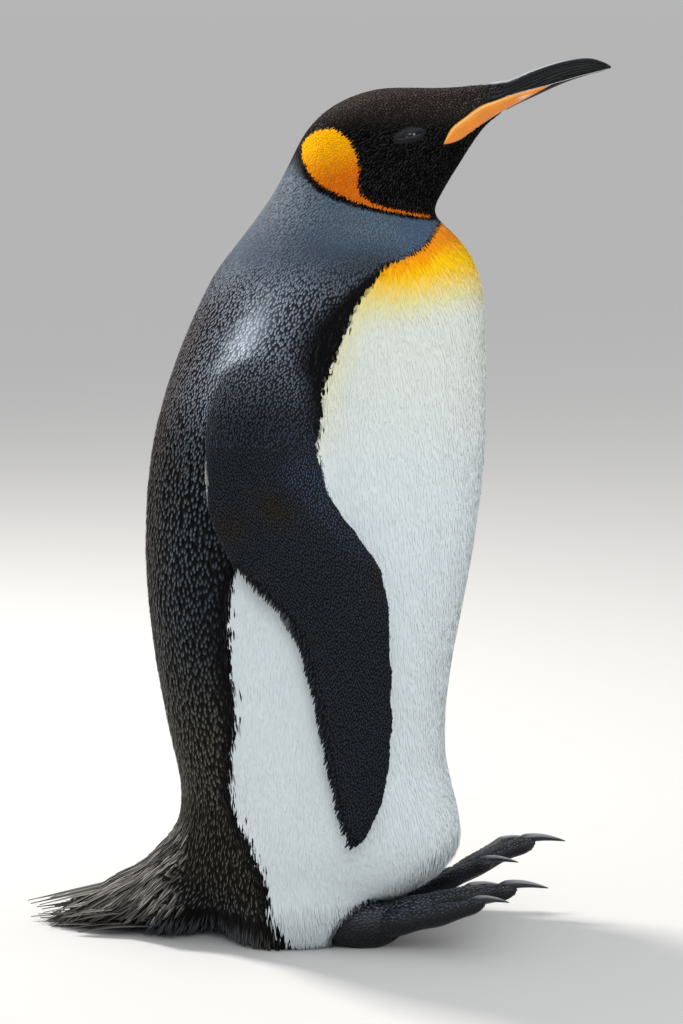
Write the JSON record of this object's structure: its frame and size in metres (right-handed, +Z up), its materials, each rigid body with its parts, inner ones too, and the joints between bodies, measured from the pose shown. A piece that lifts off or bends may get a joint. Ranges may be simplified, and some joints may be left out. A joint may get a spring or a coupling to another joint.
{
  "type": "king penguin",
  "caption": "Standing penguin model resting on its heels and tail, with raised webbed feet, flippers at its sides and a long bill pointing ahead.",
  "frame": {"origin": "on the ground, under the middle of the bird's length and width", "axes": "+X where the bird faces, +Y to its left, +Z up"},
  "size_m": [0.553, 0.3154, 0.8135],
  "materials": {
    "hood": "short dense black-brown plumage with a golden ear patch",
    "collar": "silvery blue-grey plumage",
    "back": "slate plumage with blue-grey feather tips, white in front with a yellow breast",
    "belly": "satin white plumage, slate behind",
    "tail": "stiff dark feathers with paler edges",
    "flipper": "tiny scale-like slate feathers, white underneath",
    "horn": "glossy blue-black horn with long grooves",
    "plate": "smooth orange horn",
    "eye": "wet dark brown",
    "foot": "scaly blue-black skin",
    "claw": "dark horn"
  },
  "bodies": {
    "root": {"head": "hood", "neck": "collar", "chest": "back", "belly": "belly", "rump": "belly", "leg_left": "belly", "leg_right": "belly", "tail": "tail", "flipper_arm_left": "flipper", "flipper_arm_right": "flipper", "flipper_hand_left": "flipper", "flipper_hand_right": "flipper", "bill_upper": "horn", "bill_lower": "horn", "mandible_plate_left": "plate", "mandible_plate_right": "plate", "eye_left": "eye", "eye_right": "eye", "foot_left": "foot", "foot_right": "foot", "claw_inner_left": "claw", "claw_middle_left": "claw", "claw_outer_left": "claw", "claw_hallux_left": "claw", "claw_inner_right": "claw", "claw_middle_right": "claw", "claw_outer_right": "claw", "claw_hallux_right": "claw"}
  },
  "joints": []
}
